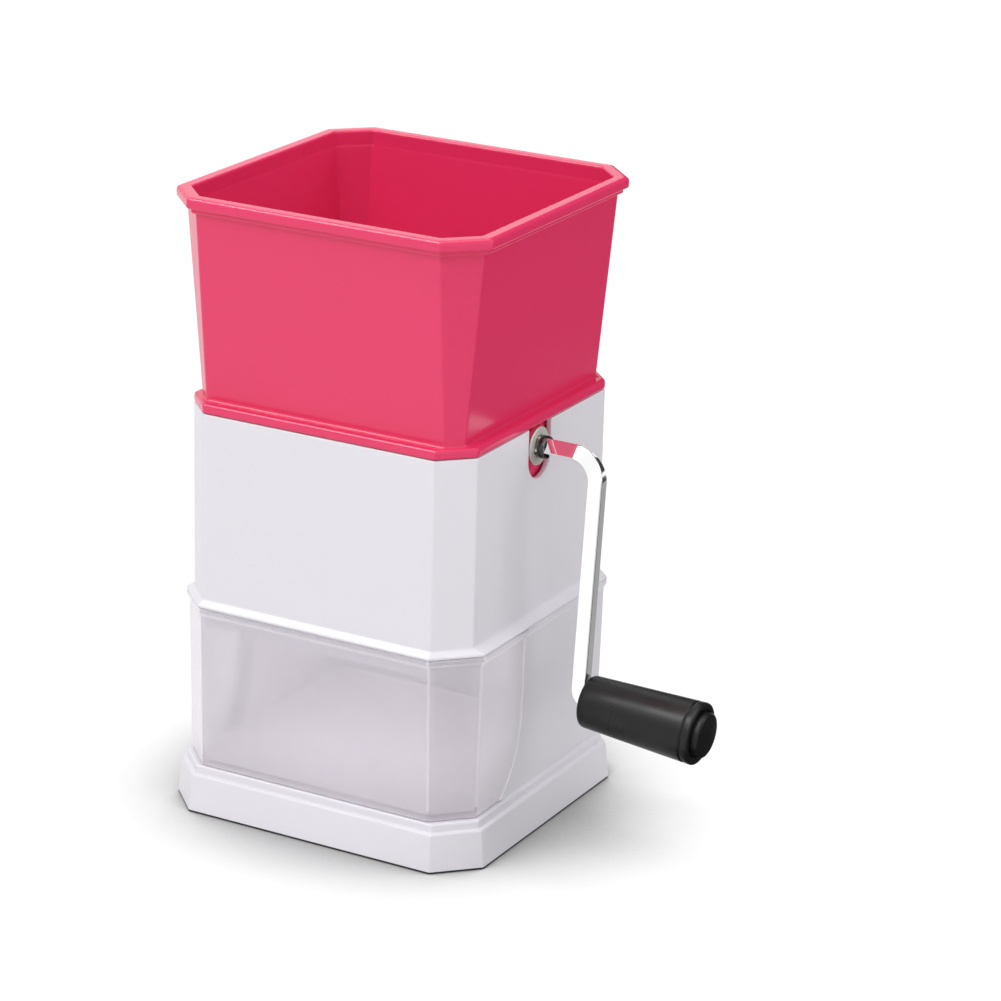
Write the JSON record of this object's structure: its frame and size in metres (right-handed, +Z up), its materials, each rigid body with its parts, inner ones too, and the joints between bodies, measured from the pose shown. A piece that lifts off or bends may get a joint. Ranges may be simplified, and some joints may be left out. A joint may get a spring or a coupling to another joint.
{
  "type": "hand cranked vegetable chopper",
  "caption": "Hand-cranked vegetable chopper: lift-out octagonal hopper with a toothed cutter, side crank, body on a stand, and a clear collecting tray that slides out.",
  "frame": {"origin": "middle of the non-slip pad's underside, where the chopper stands", "axes": "+Z up; -Y is the front, where the tray slides out; the crank is on the +X side"},
  "size_m": [0.1927, 0.1246, 0.2295],
  "materials": {
    "white_plastic": "opaque white moulded plastic, glossy, very slightly lilac",
    "pink_plastic": "opaque hot pink moulded plastic, glossy",
    "clear_plastic": "clear moulded plastic, slightly frosted",
    "black_plastic": "black moulded plastic, satin",
    "grey_rubber": "dark rubber",
    "chrome": "bright plated steel rod",
    "stainless_steel": "stainless steel, stamped and lightly brushed",
    "nylon": "natural nylon, satin"
  },
  "bodies": {
    "housing": {"lower_housing": "white_plastic", "upper_body": "white_plastic", "base_cover": "white_plastic", "base_pad": "grey_rubber", "base_screw_1": "stainless_steel", "base_screw_2": "stainless_steel", "base_screw_3": "stainless_steel", "base_screw_4": "stainless_steel"},
    "tray": {"collection_tray": "clear_plastic"},
    "hopper": {"hopper": "pink_plastic", "front_comb": "white_plastic", "rear_comb": "white_plastic", "shear_plate": "stainless_steel", "plate_screw_1": "stainless_steel", "plate_screw_2": "stainless_steel", "comb_screw_1": "stainless_steel", "comb_screw_2": "stainless_steel", "comb_screw_3": "stainless_steel", "comb_screw_4": "stainless_steel", "drive_bush": "nylon", "idle_bush": "nylon", "drive_washer": "stainless_steel"},
    "rotor": {"crank_rod": "chrome", "crank_collar": "chrome", "drive_trunnion": "nylon", "idle_trunnion": "nylon", "push_nut": "stainless_steel", "cutter_blade_1": "stainless_steel", "cutter_blade_2": "stainless_steel", "cutter_blade_3": "stainless_steel", "cutter_blade_4": "stainless_steel", "cutter_blade_5": "stainless_steel", "cutter_blade_6": "stainless_steel", "cutter_blade_7": "stainless_steel", "cutter_blade_8": "stainless_steel", "cutter_blade_9": "stainless_steel", "blade_spacer_1": "nylon", "blade_spacer_2": "nylon", "blade_spacer_3": "nylon", "blade_spacer_4": "nylon", "blade_spacer_5": "nylon", "blade_spacer_6": "nylon", "blade_spacer_7": "nylon", "blade_spacer_8": "nylon"},
    "grip": {"grip": "black_plastic", "grip_end_cap": "black_plastic"}
  },
  "joints": [
    {"name": "tray_slide", "type": "slide", "parent": "housing", "child": "tray", "axis": [0, -1, 0], "range_m": [0, 0.11]},
    {"name": "hopper_lift", "type": "slide", "parent": "housing", "child": "hopper", "axis": [0, 0, 1], "range_m": [0, 0.045]},
    {"name": "crank_turn", "type": "hinge", "parent": "hopper", "child": "rotor", "pos_m": [0, -0.002, 0.14302], "axis": [1, 0, 0], "continuous": true},
    {"name": "grip_spin", "type": "hinge", "parent": "rotor", "child": "grip", "pos_m": [0.07666, -0.002, 0.05191], "axis": [0.9982, 0, -0.0593], "continuous": true}
  ]
}
